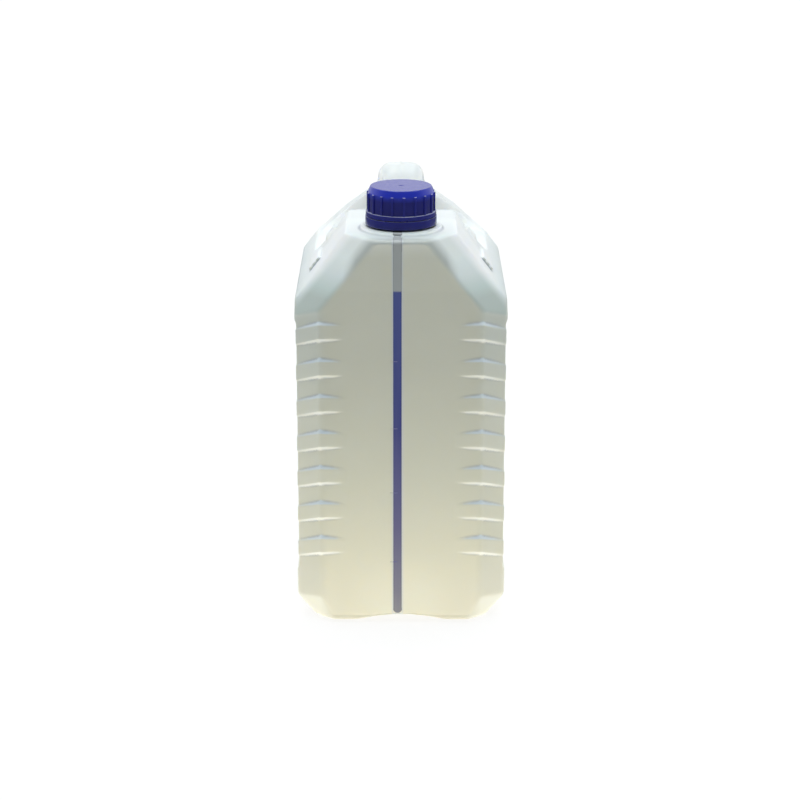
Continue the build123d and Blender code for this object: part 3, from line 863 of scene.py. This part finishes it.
def floor():
    """A plain floor that is seen white and keeps a faint shadow."""
    material, tree, shader = new_material("floor_white", roughness=1.0, specular=0.0)
    path = add_node(tree, "ShaderNodeLightPath")
    away = add_node(tree, "ShaderNodeVectorMath", operation="LENGTH")
    tree.links.new(object_point(tree), away.inputs[0])
    near = span(tree, away.outputs["Value"], TABLE_RADIUS, 2 * TABLE_RADIUS, 1.0, 0.0)
    glossy = path.outputs["Is Glossy Ray"]
    seen = math_node(tree, "MAXIMUM", path.outputs["Is Camera Ray"],
                     path.outputs["Is Transmission Ray"])
    seen = math_node(tree, "MAXIMUM", seen, math_node(tree, "MULTIPLY", glossy, near))
    far = math_node(tree, "MULTIPLY", glossy, math_node(tree, "SUBTRACT", 1.0, near))
    tone = mix_color(tree, seen, FLOOR_COLOR, FLOOR_SEEN)
    tree.links.new(mix_color(tree, far, tone, FLOOR_FAR), shader.inputs["Base Color"])
    white = add_node(tree, "ShaderNodeEmission")
    choose = add_node(tree, "ShaderNodeMixShader")
    tree.links.new(math_node(tree, "MULTIPLY", seen, FLOOR_WHITE_SHARE), choose.inputs[0])
    tree.links.new(shader.outputs[0], choose.inputs[1])
    tree.links.new(white.outputs[0], choose.inputs[2])
    tree.links.new(choose.outputs[0], tree.nodes["Material Output"].inputs["Surface"])
    bpy.ops.mesh.primitive_plane_add(size=FLOOR_SIZE, location=(0, 0, JUG_LOW.z - FLOOR_DROP))
    plane = bpy.context.object
    plane.name = "floor"
    plane.data.materials.append(material)


def light():
    """A broad lamp above that leans from behind, a light table below, and a weak sky."""
    bpy.ops.object.light_add(type="SUN", rotation=(math.radians(-SUN_LEAN), 0, 0))
    sun = bpy.context.object.data
    sun.energy = SUN_STRENGTH
    sun.angle = math.radians(SUN_ANGLE)
    sun.color = SUN_COLOR
    table_place = (0, 0, JUG_LOW.z - FLOOR_DROP / 2)
    bpy.ops.object.light_add(type="AREA", location=table_place, rotation=(math.pi, 0, 0))
    table = bpy.context.object
    table.data.shape = "DISK"
    table.data.size = 2 * TABLE_RADIUS
    table.data.energy = TABLE_POWER
    table.data.color = TABLE_COLOR
    table.visible_camera = False
    table.visible_glossy = False
    world = bpy.data.worlds.new("studio")
    bpy.context.scene.world = world
    world.use_nodes = True
    tree = world.node_tree
    tree.nodes.clear()
    seen = seen_ray(tree)
    path = add_node(tree, "ShaderNodeLightPath")
    toward = add_node(tree, "ShaderNodeSeparateXYZ")
    coordinates = add_node(tree, "ShaderNodeTexCoord")
    tree.links.new(coordinates.outputs["Generated"], toward.inputs["Vector"])
    room = span(tree, toward.outputs["Y"], *ROOM_SPAN, ROOM_FRONT, 1.0, smooth=True)
    sky_light = span(tree, toward.outputs["Y"], *SKY_SPAN, SKY_FRONT, SKY_BACK, smooth=True)
    sky = add_node(tree, "ShaderNodeBackground")
    sky.inputs["Color"].default_value = (*SKY_COLOR, 1.0)
    tree.links.new(sky_light, sky.inputs["Strength"])
    white = add_node(tree, "ShaderNodeBackground")
    choose = add_node(tree, "ShaderNodeMixShader")
    white.inputs["Color"].default_value = (1, 1, 1, 1)
    clear = math_node(tree, "MAXIMUM", path.outputs["Is Camera Ray"],
                      path.outputs["Is Transmission Ray"])
    tree.links.new(math_node(tree, "MAXIMUM", clear, room), white.inputs["Strength"])
    tree.links.new(seen, choose.inputs[0])
    tree.links.new(sky.outputs[0], choose.inputs[1])
    tree.links.new(white.outputs[0], choose.inputs[2])
    output = add_node(tree, "ShaderNodeOutputWorld")
    tree.links.new(choose.outputs[0], output.inputs["Surface"])


def camera():
    """The photograph's view, from the neck end and a little above."""
    place = (0, -CAMERA_DISTANCE, CAMERA_HEIGHT)
    turn = (math.radians(90 - CAMERA_PITCH), 0, 0)
    bpy.ops.object.camera_add(location=place, rotation=turn)
    view = bpy.context.object
    view.data.lens = CAMERA_LENS
    view.data.shift_x = CAMERA_SHIFT
    bpy.context.scene.camera = view


BLUE_PLASTIC = blue_plastic()
MILKY_PLASTIC = milky_plastic()
jug_skin(MILKY_PLASTIC)
litre_ticks(tick_plastic())
thread("neck_thread", NECK_RADIUS - THREAD_ROOT, NECK_RADIUS + THREAD_PROUD, THREAD_START_Z,
       "jug", MILKY_PLASTIC)
thread("cap_thread", CAP_INSIDE + THREAD_ROOT, CAP_INSIDE - THREAD_PROUD,
       THREAD_START_Z + THREAD_PITCH / 2, "cap", BLUE_PLASTIC)
gate_mark(BLUE_PLASTIC)
dress("jug_body", MILKY_PLASTIC)
dress("level_stripe", clear_stripe())
dress("coolant", blue_liquid())
dress("screw_cap", BLUE_PLASTIC)
dress("tamper_ring", BLUE_PLASTIC)
dress("cap_liner", white_foam())
floor()
light()
camera()
bpy.context.scene.view_settings.view_transform = "Standard"
